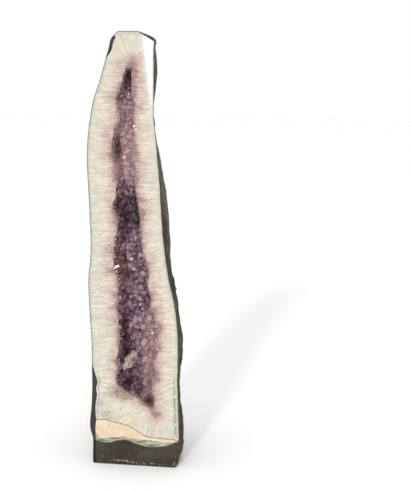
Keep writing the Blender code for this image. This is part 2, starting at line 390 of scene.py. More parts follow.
# %% Rows of the stone
ROWS = 350
SKIN_COLUMNS = 150
CORNER_COLUMNS = 5
FACE_COLUMNS = 36
MOUTH_COLUMNS = 26
EDGE_WEAR = 0.0014
FACET_TOP = Vector((0.015, FACE_Y, 0.985))
FACET_FOOT = Vector((0.038, FACE_Y, 0.815))
FACET_ANGLE = math.radians(12)
FACET_SOFTNESS = 0.006
SKIN, FACE, HOLLOW = 0.0, 1.0, 2.0
CORNER_KINDS = [0.15, 0.35, 0.6, 0.8, FACE]
SEAM = 0.0001


def facet_depth(x, height):
    """How far the facet ground along the upper right edge cuts in behind the face."""
    along = (FACET_FOOT - FACET_TOP).normalized()
    beyond = (x - FACET_TOP.x) * -along.z + (height - FACET_TOP.z) * along.x
    if abs(beyond) < FACET_SOFTNESS:
        beyond = (beyond + FACET_SOFTNESS) ** 2 / (4 * FACET_SOFTNESS)
    return max(beyond, 0.0) * math.tan(FACET_ANGLE)


def corner_points(corner, inward, height):
    """The rounding from the skin's corner to the flat face, as a quarter turn."""
    back = max(foot_corner(height), EDGE_WEAR)
    across = 0.25 * foot_corner(height) + EDGE_WEAR
    points = []
    for step in range(1, CORNER_COLUMNS + 1):
        angle = step / CORNER_COLUMNS * math.pi / 2
        x = corner.x + inward * across * (1.0 - math.cos(angle))
        y = FACE_Y + back * (1.0 - math.sin(angle))
        points.append(Vector((x, min(y, max(corner.y, FACE_Y)), height)))
    return points


def straight(start, end, height):
    """Points of a flat strip of the face, without its two ends."""
    shares = [column / FACE_COLUMNS for column in range(1, FACE_COLUMNS)]
    return [Vector((start + (end - start) * share, FACE_Y, height)) for share in shares]


def wall_points(height, inset, depth, columns):
    """The wall of the hollow from its left side round the back to its right side."""
    left, right = mouth_sides(min(max(height, MOUTH_LOW), MOUTH_HIGH))
    middle = (left + right) / 2
    half = (right - left) / 2 - inset
    points = []
    for column in range(columns + 1):
        angle = math.pi * column / columns
        across = math.copysign(abs(math.cos(angle)) ** HOLLOW_ROUNDNESS, -math.cos(angle))
        y = FACE_Y + depth * abs(math.sin(angle)) ** HOLLOW_ROUNDNESS
        points.append(Vector((middle + half * across, y, height)))
    return points


def stone_row(height):
    """One loop of points, and whether each is skin, face or hollow."""
    skin = [skin_point(column / SKIN_COLUMNS, height) for column in range(SKIN_COLUMNS + 1)]
    left_corner = corner_points(skin[-1], 1.0, height)
    right_corner = corner_points(skin[0], -1.0, height)
    open_here = MOUTH_LOW <= height <= MOUTH_HIGH
    depth = hollow_depth(height) if open_here else 0.0
    wall = wall_points(height, 0.0, depth, MOUTH_COLUMNS)
    points = skin + left_corner
    points += straight(left_corner[-1].x, wall[0].x, height) + wall
    points += straight(wall[-1].x, right_corner[-1].x, height) + right_corner[::-1]
    inner = HOLLOW if open_here else FACE
    kinds = [SKIN] * len(skin) + CORNER_KINDS + [FACE] * FACE_COLUMNS
    kinds += [inner] * (MOUTH_COLUMNS - 1) + [FACE] * FACE_COLUMNS + CORNER_KINDS[::-1]
    for point in points:
        point.y = max(point.y, FACE_Y + facet_depth(point.x, height))
    return points, kinds


row_heights = [HEIGHT * row / ROWS for row in range(ROWS + 1)]
row_heights += [MOUTH_LOW - SEAM, MOUTH_LOW, MOUTH_HIGH, MOUTH_HIGH + SEAM]
row_heights.sort()
stone_rows = [stone_row(height) for height in row_heights]
print(len(stone_rows), "rows of", len(stone_rows[0][0]), "points")

# %% [markdown]
# ## Joining the rows
# Faces between neighbouring rows close the side of the stone, and one face closes its base.
# Its top is a break, not a cut, so a few smaller loops make it gently uneven. The same
# function later makes the bed of the crust, because both are stacks of loops.

# %% Stone mesh
CAP_SHARES = (0.80, 0.60, 0.40, 0.20)
CAP_DIP = 0.0016
CAP_GRAIN = 0.012


def shrunk(loop, share):
    """A loop drawn in towards its middle, for the gently uneven top of the stone."""
    middle = sum(loop, Vector()) / len(loop)
    ring = []
    for point in loop:
        moved = middle.lerp(point, share)
        moved.z -= CAP_DIP * (0.5 + 0.5 * noise.noise(moved / CAP_GRAIN)) * (1.0 - share)
        ring.append(moved)
    return ring


def mesh_of_loops(name, loops):
    """One closed mesh from loops of equal length, stacked from the lowest up."""
    count = len(loops[0])
    faces = [tuple(reversed(range(count)))]
    for low in range(0, (len(loops) - 1) * count, count):
        for column in range(count):
            following = (column + 1) % count
            faces.append(
                (low + column, low + following, low + count + following, low + count + column)
            )
    faces.append(tuple(range((len(loops) - 1) * count, len(loops) * count)))
    mesh = bpy.data.meshes.new(name)
    mesh.from_pydata([tuple(point) for loop in loops for point in loop], [], faces)
    return mesh


def add_object(name, data):
    """An object in the scene that holds a mesh or a light."""
    made = bpy.data.objects.new(name, data)
    bpy.context.scene.collection.objects.link(made)
    return made


stone_loops = [points for points, kinds in stone_rows]
top_loops = [shrunk(stone_loops[-1], share) for share in CAP_SHARES]
stone_mesh = mesh_of_loops("geode_stone", stone_loops + top_loops)
stone_kinds = [kind for points, kinds in stone_rows for kind in kinds]
stone_kinds += [SKIN] * (len(stone_mesh.vertices) - len(stone_kinds))
stone = add_object("geode_stone", stone_mesh)
print("stone mesh", len(stone_mesh.polygons), "faces")

# %% [markdown]
# ## The bed of the crust
# The crust is a layer of quartz a few millimetres thick on the hollow's wall, with a point
# on every grain. Its bed is lofted like the stone, from the wall inwards, and swells into
# mounds and pockets, so that the points on it fan out and leave dark places between them.

# %% Bed of the crust
BED_THICKNESS = 0.0045
BED_BACK = 0.009
MOUND_SIZE = 0.036
MOUND_HEIGHT = 0.0075
PAST_FACE = 0.004
LEAST_BED = 0.0008
RIM_THICKNESS = 0.0016
BED_COLUMNS = 16


def bed_depth(height):
    """How far behind the face the bed's inner side is at its deepest."""
    open_share = smooth_step((height - MOUTH_LOW - BED_THICKNESS) / 0.018)
    open_share *= smooth_step((MOUTH_HIGH - BED_THICKNESS - height) / 0.016)
    return (hollow_depth(height) - BED_THICKNESS) * open_share - PAST_FACE * (1.0 - open_share)


def bed_point(turn, height):
    """A point of the bed's inner side: turn 0 is its left rim and 1 its right rim."""
    left, right = mouth_sides(height)
    middle = (left + right) / 2
    half = max((right - left) / 2 - RIM_THICKNESS, 0.001)
    angle = math.pi * turn
    across = math.copysign(abs(math.cos(angle)) ** HOLLOW_ROUNDNESS, -math.cos(angle))
    inward = abs(math.sin(angle)) ** HOLLOW_ROUNDNESS
    depth = bed_depth(height) + PAST_FACE
    point = Vector((middle + half * across, FACE_Y - PAST_FACE + depth * inward, height))
    mound = noise.noise(point / MOUND_SIZE + Vector((3.1, 6.4, 2.2)))
    mound += 0.5 * noise.noise(point / (MOUND_SIZE * 0.45) + Vector((8.3, 1.4, 5.2)))
    swell = (MOUND_HEIGHT * mound + BED_BACK * 0.5) * inward * smooth_step(depth / 0.03)
    swell = max(swell, LEAST_BED - RIM_THICKNESS - (BED_THICKNESS - RIM_THICKNESS) * inward)
    centre = Vector((middle, FACE_Y + depth * 0.3, height))
    return point + (centre - point).normalized() * swell


def bed_loop(height):
    """The bed's section at a height: its inner side, then back along the outer wall."""
    outer = wall_points(height, SEAM, hollow_depth(height) - SEAM, MOUTH_COLUMNS)
    outer[0].y = outer[-1].y = FACE_Y - PAST_FACE
    inner = [bed_point(column / BED_COLUMNS, height) for column in range(BED_COLUMNS + 1)]
    return inner + outer[::-1]


bed_heights = [height for height in row_heights if MOUTH_LOW <= height <= MOUTH_HIGH]
bed_heights = bed_heights[:-1:2] + bed_heights[-1:]
bed_mesh = mesh_of_loops("crust_bed", [bed_loop(height) for height in bed_heights])
print("bed mesh", len(bed_mesh.polygons), "faces")

# %% [markdown]
# ## One quartz point
# Amethyst is quartz, so each point is a six-sided prism with six faces closing to a tip at
# about 52 degrees. Three of the tip's faces are larger than the other three, because the
# corners under them sit lower. That is what makes the real points look a little like cubes.

# %% A quartz point
TIP_SLOPE = 1.12
CORNER_DROP = 0.30
TIP_LEAN = 0.16


def quartz_point(draw, radius, length, sunk):
    """The corners and faces of one point along +Z, its foot sunk below zero."""
    shoulder = length - radius * TIP_SLOPE
    drop = radius * CORNER_DROP
    corners = []
    for level in ("foot", "shoulder"):
        for side in range(6):
            angle = side * math.pi / 3
            height = -sunk
            if level == "shoulder":
                high_or_low = 0.5 if side % 2 else -0.5
                height = shoulder + drop * high_or_low + drop * draw.uniform(-0.4, 0.4)
            corners.append(Vector((radius * math.cos(angle), radius * math.sin(angle), height)))
    lean = TIP_LEAN * radius
    corners.append(Vector((draw.uniform(-lean, lean), draw.uniform(-lean, lean), length)))
    faces = [(5, 4, 3, 2, 1, 0)]
    for side in range(6):
        following = (side + 1) % 6
        faces.append((side, following, following + 6, side + 6))
        faces.append((side + 6, following + 6, 12))
    return corners, faces


print("a point has", len(quartz_point(random.Random(1), 1.0, 2.0, 1.0)[1]), "faces")

# %% [markdown]
# ## Setting the points
# Large points are thrown onto the bed first and small ones fill what is left. Each keeps a
# share of its own width away from those already there, so they crowd and cut into each
# other as grown crystals do. A fixed seed gives the same crust on each run.

# %% Points on the bed
SEED = 7
CROWDING = 0.70
RIM_GAP = 0.005
MOUTH_SHARE = 0.080
LEAST_RADIUS = 0.0022
# Smallest and largest radius of a kind of point, and how many places are tried for it
POINT_KINDS = ((0.0058, 0.0082, 420), (0.0040, 0.0056, 2200), (0.0026, 0.0036, 10000))


def bed_frame(turn, height):
    """A place on the bed, with the direction straight out of it into the hollow."""
    place = bed_point(turn, height)
    step = 0.004
    leftward = bed_point(max(turn - 0.02, 0.0), height)
    round_the_back = bed_point(min(turn + 0.02, 1.0), height) - leftward
    upwards = bed_point(turn, height + step) - bed_point(turn, height - step)
    return place, upwards.cross(round_the_back).normalized()


def spread_points(draw):
    """Places, directions and radii of all the points."""
    found = []
    places = np.zeros((0, 3))
    radii = np.zeros(0)
    for smallest, largest, tries in POINT_KINDS:
        for _ in range(tries):
            turn = draw.random()
            height = draw.uniform(MOUTH_LOW + 0.006, MOUTH_HIGH - 0.004)
            left, right = mouth_sides(height)
            most = max((right - left) * MOUTH_SHARE, LEAST_RADIUS)
            radius = min(draw.uniform(smallest, largest), most)
            if bed_depth(height) < 0.0:
                continue
            place, outward = bed_frame(turn, height)
            if place.y < FACE_Y + RIM_GAP:
                continue
            apart = np.linalg.norm(places - np.array(place), axis=1)
            if np.any(apart < CROWDING * (radii + radius)):
                continue
            places = np.vstack((places, np.array(place)))
            radii = np.append(radii, radius)
            found.append((place, outward, radius))
    return found


chance = random.Random(SEED)
set_points = spread_points(chance)
print(len(set_points), "points on the bed")

# %% [markdown]
# ## A point in its place
# A real point stands roughly square to the wall it grew from, with a small lean of its own.
# Each point has a tone of its own, and each of its faces is made a little lighter or darker
# as painted light and shade, as if it caught the light its own way. That shade is stored on
# the mesh for the finish to read, and so is the place of the tip, where the finish paints
# the points palest as painted light.

# %% Points in their places
LENGTH_SHARE = (1.5, 2.3)
LEAN = 0.30
SUNK_SHARE = 0.7
OWN_SHADE = 0.6
tips = []


def point_mesh(name, draw, place, outward, radius):
    """The mesh of one point standing in its place, each face with a shade of its own."""
    length = radius * draw.uniform(*LENGTH_SHARE)
    corners, faces = quartz_point(draw, radius, length, radius * SUNK_SHARE)
    lean = Vector([draw.uniform(-LEAN, LEAN) for _ in range(3)])
    turn = (outward + lean).to_track_quat("Z", "Y").to_matrix()
    turn = turn @ Matrix.Rotation(draw.uniform(0.0, math.pi / 3), 3, "Z")
    mesh = bpy.data.meshes.new(name)
    mesh.from_pydata([tuple(turn @ corner + place) for corner in corners], [], faces)
    # The stored shade mixes a random tone of the whole point with painted light and shade for each
    # face, as if each face caught the light its own way.
    own_shade = draw.random()
    shade = mesh.attributes.new("shade", "FLOAT", "FACE")
    values = [OWN_SHADE * own_shade + (1.0 - OWN_SHADE) * draw.random() for _ in faces]
    shade.data.foreach_set("value", values)
    tips.append((turn @ corners[-1] + place, radius))
    return mesh


print("points are", LENGTH_SHARE, "times as long as their radius")

# %% [markdown]
# ## Calcite lumps and a flake
# The last mineral to grow here was pale calcite, as rounded lumps low on the left and one
# thin white flake on the left rim. A lump is a ball swollen by noise, and the flake a block
# bent by it. A shade below zero marks what is calcite once all is joined.

# %% Calcite
# Middle and half sizes of each pale lump
LUMPS = (
    (Vector((-0.0190, FACE_Y + 0.040, 0.245)), Vector((0.0120, 0.0300, 0.0130))),
    (Vector((-0.0080, FACE_Y + 0.038, 0.264)), Vector((0.0075, 0.0200, 0.0070))),
    (Vector((-0.0270, FACE_Y + 0.032, 0.236)), Vector((0.0070, 0.0160, 0.0065))),
)
FLAKE_PLACE = Vector((-0.0425, FACE_Y + 0.0035, 0.4805))
FLAKE_SIZE = (0.0150, 0.0050, 0.0042)
FLAKE_TURN = math.radians(-28.0)
CALCITE_SHADE = -2.0
FLAKE_SHADE = -3.0


def lump_mesh(middle, half):
    """A lump of pale calcite that grew over the points, low on the left of the hollow."""
    lump = bmesh.new()
    bmesh.ops.create_icosphere(lump, subdivisions=4, radius=1.0)
    for vertex in lump.verts:
        place = Vector([a * b for a, b in zip(vertex.co, half)]) + middle
        swell = 1.0 + 0.45 * noise.noise(place / 0.012) + 0.35 * noise.noise(place / 0.005)
        vertex.co = Vector([a * b for a, b in zip(vertex.co, half)]) * swell + middle
    return lump


def flake_mesh():
    """A thin white flake on the left rim, broken across a few points."""
    flake = bmesh.new()
    turn = Matrix.Translation(FLAKE_PLACE) @ Matrix.Rotation(FLAKE_TURN, 4, "Y")
    bmesh.ops.create_cube(flake, size=1.0, matrix=turn @ Matrix.Diagonal((*FLAKE_SIZE, 1.0)))
    bmesh.ops.subdivide_edges(flake, edges=flake.edges[:], cuts=3, use_grid_fill=True)
    for vertex in flake.verts:
        vertex.co += noise.noise_vector(vertex.co / 0.006) * 0.0022
    return flake


def calcite_object(name, mesh, home, pale):
    """A piece of calcite for the crust, known later by its shade below zero."""
    data = bpy.data.meshes.new(name)
    mesh.to_mesh(data)
    mesh.free()
    shade = data.attributes.new("shade", "FLOAT", "FACE")
    shade.data.foreach_set("value", [pale] * len(data.polygons))
    home.objects.link(bpy.data.objects.new(name, data))


print(len(LUMPS), "lumps of calcite and a flake")

# %% [markdown]
# ## Grown together
# The bed, the points and the calcite are united into one closed solid, as the real crust is
# one piece, and a block then cuts it level with the sawn face. The quick manifold solver
# does this in seconds for thousands of points, where the exact one would take many minutes.

# %% Grown crust
def face_saw():
    """A block that takes away everything in front of the sawn face."""
    block = bmesh.new()
    size = (0.4, 0.1, 1.2)
    place = Matrix.Translation((0.0, FACE_Y + SEAM - size[1] / 2, HEIGHT / 2))
    bmesh.ops.create_cube(block, size=1.0, matrix=place @ Matrix.Diagonal((*size, 1.0)))
    mesh = bpy.data.meshes.new("face_saw")
    block.to_mesh(mesh)
    block.free()
    return mesh


def evaluated_mesh(target, name):
    """A new mesh of an object with its modifiers applied."""
    bpy.context.view_layer.update()
    finished = target.evaluated_get(bpy.context.evaluated_depsgraph_get())
    mesh = bpy.data.meshes.new_from_object(finished)
    mesh.name = name
    return mesh


def grow_crust():
    """The bed and its points joined into one solid and sawn level with the face."""
    points = bpy.data.collections.new("crust_points")
    bpy.context.scene.collection.children.link(points)
    for number, (place, outward, radius) in enumerate(set_points):
        name = f"point_{number}"
        mesh = point_mesh(name, chance, place, outward, radius)
        points.objects.link(bpy.data.objects.new(name, mesh))
    for middle, half in LUMPS:
        calcite_object("calcite_lump", lump_mesh(middle, half), points, CALCITE_SHADE)
    calcite_object("white_flake", flake_mesh(), points, FLAKE_SHADE)
    bed = add_object("crust_bed", bed_mesh)
    saw = add_object("face_saw", face_saw())
    join = bed.modifiers.new("grown_together", "BOOLEAN")
    join.operation = "UNION"
    join.solver = "MANIFOLD"
    join.operand_type = "COLLECTION"
    join.collection = points
    trim = bed.modifiers.new("sawn", "BOOLEAN")
    trim.operation = "DIFFERENCE"
    trim.solver = "MANIFOLD"
    trim.object = saw
    mesh = evaluated_mesh(bed, "amethyst_points")
    for helper in list(points.objects) + [bed, saw]:
        bpy.data.objects.remove(helper, do_unlink=True)
    bpy.data.collections.remove(points)
    return mesh


crust_mesh = grow_crust()
crust = add_object("amethyst_points", crust_mesh)
triangles = sum(len(face.vertices) - 2 for face in crust_mesh.polygons)
print("crust", len(crust_mesh.polygons), "faces,", triangles, "triangles")

# %% [markdown]
# ## Marks measured on the surface
# The bands of a geode follow its edges, so their finishes need to know how far a place is
# from the hollow, from the outer edge and from the painted foot. These distances are
# worked out once for every corner of the meshes and stored with them as attributes.

# %% Distances to the edges
SPINE = (
    Vector((0.047, 0.142)),
    Vector((0.015, 0.200)),
    Vector((0.008, 0.300)),
    Vector((0.004, 0.380)),
    Vector((-0.006, 0.480)),
    Vector((-0.014, 0.560)),
    Vector((-0.018, 0.640)),
    Vector((-0.020, 0.740)),
    Vector((-0.018, 0.820)),
    Vector((-0.012, 0.900)),
    Vector((-0.006, 0.930)),
)
FIBRE_REACH = 0.06


def nearest_on_spine(flat):
    """The nearest place on the line through the middle of the hollow."""
    found = SPINE[0]
    for start, end in zip(SPINE, SPINE[1:]):
        along = end - start
        share = min(max((flat - start).dot(along) / along.length_squared, 0.0), 1.0)
        place = start + along * share
        if (flat - place).length < (flat - found).length:
            found = place
    return found


def tree_of(places):
    """A search tree of flat places, x across and z up."""
    tree = KDTree(len(places))
    for number, (x, z) in enumerate(places):
        tree.insert((x, 0.0, z), number)
    tree.balance()
    return tree


def outline_places(sides, low, high, step=0.001):
    """Places along both sides of an outline, a millimetre apart, and across its two ends."""
    places = []
    count = round((high - low) / step)
    for number in range(count + 1):
        height = low + (high - low) * number / count
        left, right = sides(height)
        places += [(left, height), (right, height)]
    for height in (low, high):
        left, right = sides(height)
        across = max(round((right - left) / step), 1)
        places += [(left + (right - left) * number / across, height) for number in range(across)]
    return places


def face_sides(height):
    """The two edges of the sawn face at a height."""
    return skin_point(1.0, height).x, skin_point(0.0, height).x


mouth_tree = tree_of(outline_places(mouth_sides, MOUTH_LOW, MOUTH_HIGH))
edge_tree = tree_of([place for place in outline_places(face_sides, 0.0, HEIGHT) if place[1] > 0.0])
to_edge = edge_tree.find((-0.045, 0.0, 0.5))[2]
print("from the mouth to the left edge at mid height", round(to_edge, 4))

# %% [markdown]
# ## Lines across the foot
# Under the white quartz lies a tongue of tan agate, then a thin green layer, and then the
# painted foot. Each line is a few real points joined by a smooth curve. A strip along the
# lower left edge of the face was left rough and painted over too.

# %% Bands at the foot
BAND_TOP = (
    (-0.112, 0.104),
    (-0.094, 0.109),
    (-0.070, 0.111),
    (-0.051, 0.107),
    (-0.030, 0.103),
    (-0.010, 0.097),
    (0.013, 0.083),
    (0.030, 0.074),
    (0.061, 0.072),
    (0.112, 0.068),
)
BAND_FOOT = (
    (-0.112, 0.090),
    (-0.094, 0.081),
    (-0.085, 0.066),
    (-0.060, 0.067),
    (-0.042, 0.069),
    (-0.023, 0.072),
    (0.008, 0.066),
    (0.030, 0.066),
    (0.061, 0.064),
    (0.112, 0.062),
)
PAINT_TOP = (
    (-0.112, 0.070),
    (-0.085, 0.057),
    (-0.063, 0.055),
    (-0.042, 0.061),
    (-0.018, 0.063),
    (0.001, 0.057),
    (0.013, 0.053),
    (0.037, 0.049),
    (0.073, 0.054),
    (0.112, 0.072),
)
PAINT_STRIP = (
    (0.060, -0.0930),
    (0.087, -0.0930),
    (0.110, -0.0915),
    (0.133, -0.0925),
    (0.156, -0.0913),
    (0.172, -0.0880),
    (0.191, -0.0900),
    (0.202, -0.0868),
    (0.225, -0.0920),
    (0.250, -0.1000),
    (0.275, -0.1120),
)


def above(line, x, height):
    """How far a place is above a line across the foot."""
    return height - between(line, min(max(x, line[0][0]), line[-1][0]))[0]


def beside_strip(x, height):
    """How far a place is to the right of the painted strip at the lower left."""
    if height > PAINT_STRIP[-1][0]:
        return 0.02
    return x - between(PAINT_STRIP, max(height, PAINT_STRIP[0][0]))[0]


print("band is", round(above(BAND_TOP, -0.05, 0.0) - above(BAND_FOOT, -0.05, 0.0), 3), "m thick")

# %% [markdown]
# ## Chips in the paint
# The paint has come off in a few small places, most of them low on the right side and along
# the front of the foot, where the stone gets knocked. Each chip is an oval with its real
# place and size, and the finish frays its edge.

# %% Chips
NO_CHIP = 0.02
CHIP_SPLIT = 0.022
# Chips in the paint: across, height, half width, half height. They lie on the right side,
# where across is measured behind the face, or on the front of the foot.
SIDE_CHIPS = (
    (0.117, 0.472, 0.003, 0.004),
    (0.137, 0.475, 0.006, 0.004),
    (0.134, 0.449, 0.002, 0.017),
    (0.111, 0.191, 0.003, 0.015),
    (0.135, 0.165, 0.004, 0.009),
    (0.150, 0.113, 0.006, 0.018),
    (0.130, 0.095, 0.003, 0.003),
    (0.087, 0.081, 0.005, 0.004),
    (0.105, 0.057, 0.003, 0.007),
    (0.166, 0.072, 0.009, 0.004),
    (0.039, 0.036, 0.002, 0.007),
    (0.030, 0.016, 0.002, 0.003),
)
FRONT_CHIPS = (
    (-0.101, 0.048, 0.0015, 0.004),
    (-0.076, 0.020, 0.0025, 0.0016),
    (-0.020, 0.010, 0.020, 0.0012),
    (0.034, 0.006, 0.022, 0.0010),
    (0.095, 0.012, 0.0016, 0.0018),
    (0.099, 0.006, 0.0022, 0.0022),
)


def chip_distance(point):
    """How far a point is outside the nearest chip in the paint."""
    chips = SIDE_CHIPS if point.x > 0.0 else ()
    across = point.y - FACE_Y
    if across <= CHIP_SPLIT:
        chips = FRONT_CHIPS
        across = point.x
    found = NO_CHIP
    for middle, height, half_width, half_height in chips:
        share = math.hypot((across - middle) / half_width, (point.z - height) / half_height)
        found = min(found, (share - 1.0) * min(half_width, half_height))
    return found


print(len(SIDE_CHIPS) + len(FRONT_CHIPS), "chips in the paint")

# %% [markdown]
# ## Storing the marks
# A vector attribute holds three numbers for every corner of a mesh, which is enough for the
# distances that belong together. Worked out here, they cost nothing at render time, and the
# crust gets the same ones, so that its sawn rim is drawn on as if it were the stone.

# %% Stored marks
def write_vectors(mesh, name, values):
    """Stores three numbers for each corner of a mesh."""
    attribute = mesh.attributes.new(name, "FLOAT_VECTOR", "POINT")
    attribute.data.foreach_set("vector", np.array(values, dtype=np.float32).ravel())


def mark_surface(mesh, kinds):
    """Stores the distances that the finish of the stone is drawn from."""
    rims = []
    fibres = []
    feet = []
    paints = []
    for vertex, kind in zip(mesh.vertices, kinds):
        point = vertex.co
        flat = Vector((point.x, point.z))
        to_mouth = mouth_tree.find((point.x, 0.0, point.z))[2]
        if MOUTH_LOW < point.z < MOUTH_HIGH:
            left, right = mouth_sides(point.z)
            to_mouth *= -1.0 if left < point.x < right else 1.0
        on_spine = nearest_on_spine(flat)
        outward = (flat - on_spine).normalized() * FIBRE_REACH + on_spine
        rims.append((to_mouth, edge_tree.find((point.x, 0.0, point.z))[2], kind))
        fibres.append((outward.x, to_mouth, outward.y))
        feet.append([above(line, point.x, point.z) for line in (BAND_TOP, BAND_FOOT, PAINT_TOP)])
        wrinkled = wrinkled_share(point, point.z)
        paints.append((wrinkled, chip_distance(point), beside_strip(point.x, point.z)))
    write_vectors(mesh, "rim", rims)
    write_vectors(mesh, "fibre", fibres)
    write_vectors(mesh, "foot", feet)
    write_vectors(mesh, "paint", paints)


mark_surface(stone_mesh, stone_kinds)
mark_surface(crust_mesh, [FACE] * len(crust_mesh.vertices))
print("marks on", len(stone_mesh.vertices) + len(crust_mesh.vertices), "points")

# %% [markdown]
# ## Drawing with nodes
# Every finish here is a small net of nodes: noise for what nature left uneven, and smooth
# steps on the stored distances for what follows an edge. A short helper adds a node and
# fills its sockets in order, so that each line reads as one thing seen on the stone.

# %% Node helper
class Finish:
    """A material and short ways to add the nodes that draw it."""

    def __init__(self, name):
        self.material = bpy.data.materials.new(name)
        self.material.use_nodes = True
        self.tree = self.material.node_tree
        self.shader = self.tree.nodes["Principled BSDF"]

    def fill(self, socket, value):
        """Links a socket to another node, or sets its value."""
        if isinstance(value, bpy.types.NodeSocket):
            self.tree.links.new(value, socket)
        elif isinstance(value, tuple):
            socket.default_value = (*value, 1.0) if socket.type == "RGBA" else value
        else:
            socket.default_value = value

    def add(self, kind, values, output=0, **settings):
        """A node with its settings, its first sockets filled in order."""
        node = self.tree.nodes.new("ShaderNode" + kind)
        for setting, value in settings.items():
            setattr(node, setting, value)
        for socket, value in zip(node.inputs, values):
            if value is not None:
                self.fill(socket, value)
        return node.outputs[output]

    def set(self, **values):
        """Fills the shader's own sockets."""
        for name, value in values.items():
            self.fill(self.shader.inputs[name.replace("_", " ")], value)

    def place(self):
        """Where on the object a point is, in metres."""
        return self.add("TexCoord", (), 3)

    def axes(self, vector):
        """The three numbers of a vector."""
        return self.add("SeparateXYZ", (vector,)).node.outputs

    def stored(self, name):
        """The three numbers of a stored vector."""
        return self.axes(self.add("Attribute", (), 1, attribute_name=name))

    def stored_number(self, name):
        return self.add("Attribute", (), 2, attribute_name=name)

    def noise(self, size, vector=None, detail=2.0, roughness=0.5, distortion=0.0):
        """Noise whose grains are about as large as size, in metres."""
        vector = self.place() if vector is None else vector
        values = (vector, None, 1.0 / size, detail, roughness, None, None, None, distortion)
        return self.add("TexNoise", values)

    def maths(self, operation, first, second=0.0):
        return self.add("Math", (first, second), operation=operation)

    def plus(self, first, second):
        return self.maths("ADD", first, second)

    def times(self, first, second):
        return self.maths("MULTIPLY", first, second)

    def wander(self, size, reach, **settings):
        """A distance that drifts either side of nothing, to fray an edge or bend a line."""
        return self.times(self.plus(self.noise(size, **settings), -0.5), reach)

    def rise(self, value, start, end, low=0.0, high=1.0):
        """A smooth step from low at start to high at end."""
        return self.add("MapRange", (value, start, end, low, high), interpolation_type="SMOOTHSTEP")

    def patches(self, size, start, end, low=0.0, high=1.0, **settings):
        """Patches of noise, from low where it is under start to high where it is over end."""
        return self.rise(self.noise(size, **settings), start, end, low, high)

    def bump_line(self, value, middle, half_width):
        """1 on a line where the value is at its middle, and 0 away from it."""
        off = self.maths("ABSOLUTE", self.maths("SUBTRACT", value, middle))
        return self.rise(off, half_width, 0.0)

    def blend(self, share, first, second):
        """The first colour where the share is 0 and the second where it is 1."""
        values = (share, None, None, None, None, None, first, second)
        return self.add("Mix", values, 2, data_type="RGBA")

    def tint(self, colour, factor):
        """A colour made lighter or darker."""
        return self.add("VectorMath", (colour, factor), operation="MULTIPLY")

    def stretched(self, vector, factors):
        """A place measured in other units along each axis, which stretches what is drawn there."""
        return self.add("VectorMath", (vector, factors), operation="MULTIPLY")

    def distance(self, place, centre):
        return self.add("VectorMath", (place, centre), 1, operation="DISTANCE")

    def bumps(self, height, distance, strength=1.0):
        """A normal bent by a height between 0 and 1 that stands for a distance."""
        return self.add("Bump", (strength, distance, None, height))


print("helper has", len([name for name in vars(Finish) if name[0] != "_"]), "ways to add nodes")

# %% [markdown]
# ## Sawn and polished quartz
# The white layer is quartz that grew inwards in fine fibres, cream outside and pink, then
# mauve, towards the hollow. A picture would blur from close by, so the fibres are noise
# that is stretched along the way out from the hollow, and it also frays the colour zones.

# %% Fibrous quartz
COARSE_FIBRE = 0.004
FINE_FIBRE = 0.001
CREAM = (0.73, 0.66, 0.52)
COOL_CREAM = (0.69, 0.64, 0.55)
QUARTZ_PINK = (0.60, 0.44, 0.385)
QUARTZ_MAUVE = (0.33, 0.19, 0.18)
NEEDLE_WHITE = (0.84, 0.72, 0.67)


def fibres_of(finish):
    """Fine lines that run straight out from the hollow, as a coarse and a fine pattern."""
    vector = finish.add("Attribute", (), 1, attribute_name="fibre")
    coarse = finish.stretched(vector, (1.0, 0.13, 1.0))
    fine = finish.stretched(vector, (1.0, 0.26, 1.0))
    broad = finish.noise(COARSE_FIBRE, coarse, detail=3.0, roughness=0.65, distortion=0.9)
    narrow = finish.noise(FINE_FIBRE, fine, detail=2.0, roughness=0.6, distortion=0.3)
    return broad, narrow


def quartz_colour(finish, to_mouth, broad, narrow):
    """Mauve at the hollow, then pink, then cream, with light and dark fibres."""
    spread = finish.times(finish.plus(broad, -0.5), 0.016)
    wander = finish.wander(0.028, 0.050, detail=3.0)
    reach = finish.plus(to_mouth, finish.plus(spread, wander))
    cream = finish.blend(finish.patches(0.05, 0.35, 0.65, detail=3.0), CREAM, COOL_CREAM)
    pink = finish.blend(finish.rise(reach, 0.005, 0.030), QUARTZ_PINK, cream)
    mauve = finish.blend(finish.rise(reach, -0.005, 0.010), QUARTZ_MAUVE, pink)
    light = finish.rise(broad, 0.30, 0.72, 0.80, 1.10)
    fine_light = finish.rise(narrow, 0.28, 0.72, 0.86, 1.09)
    mottle = finish.patches(0.0055, 0.35, 0.65, 0.96, 1.03, detail=4.0, roughness=0.6)
    lit = finish.tint(mauve, finish.times(mottle, finish.times(light, fine_light)))
    near_mouth = finish.rise(to_mouth, 0.014, 0.001, 0.0, 0.5)
    needles = finish.times(finish.rise(narrow, 0.55, 0.72), near_mouth)
    return finish.blend(needles, lit, NEEDLE_WHITE)


print("quartz from", CREAM, "to", QUARTZ_MAUVE)

# %% [markdown]
# ## Zones of the sawn face
# Three things break the even quartz. The ground facet is painted near white as painted glare,
# the reflection of a bright light, iron has stained the quartz under the hollow brown, and a
# thin grey-green line of celadonite, the first lining of the bubble, follows the outer edge.
# All are colour only, on flat stone.

# %% Facet, iron stain and edge lines
# Painted glare: the near white blended onto the ground facet stands in for a reflection.
FACET_GLARE_WHITE = (0.76, 0.76, 0.77)
STAIN_PLACE = (-0.024, 0.180)
STAIN_STRETCH = (0.8, 1.0, 1.6)
STAIN_DARK = (0.20, 0.12, 0.09)
STAIN_LIGHT = (0.46, 0.32, 0.24)
EDGE_GREY = (0.44, 0.46, 0.36)
EDGE_GREEN = (0.13, 0.145, 0.11)
INNER_GREEN = (0.22, 0.25, 0.19)
WAVE_GREEN = (0.27, 0.29, 0.26)


